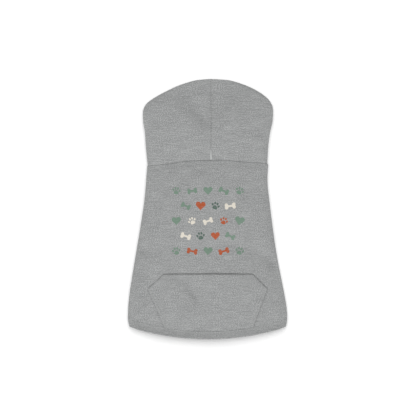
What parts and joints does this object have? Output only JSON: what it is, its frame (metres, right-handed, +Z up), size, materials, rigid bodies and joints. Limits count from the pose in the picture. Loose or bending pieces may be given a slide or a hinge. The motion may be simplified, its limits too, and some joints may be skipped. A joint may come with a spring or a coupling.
{
  "type": "dog hoodie",
  "caption": "Fleece pet hoodie lying flat with its back up: two-panel hood, flared body with turned-up hem, patch pocket on the back, leg holes in the belly panel",
  "frame": {"origin": "on the floor below the middle of the laid garment's outline", "axes": "+Y from the hem to the peak of the hood, +Z up out of the garment's back, +X to the right seen from above"},
  "size_m": [0.3184, 0.519, 0.0334],
  "materials": {
    "hood_fleece": "heather grey sweatshirt knit, brushed inside, matte",
    "body_fleece": null,
    "belly_fleece": "heather grey sweatshirt knit, matte",
    "pocket_fleece": "heather grey sweatshirt knit, matte"
  },
  "bodies": {
    "root": {"hood_left": "hood_fleece", "hood_right": "hood_fleece", "back_panel": "body_fleece", "belly_panel": "belly_fleece", "pocket": "pocket_fleece"}
  },
  "joints": []
}
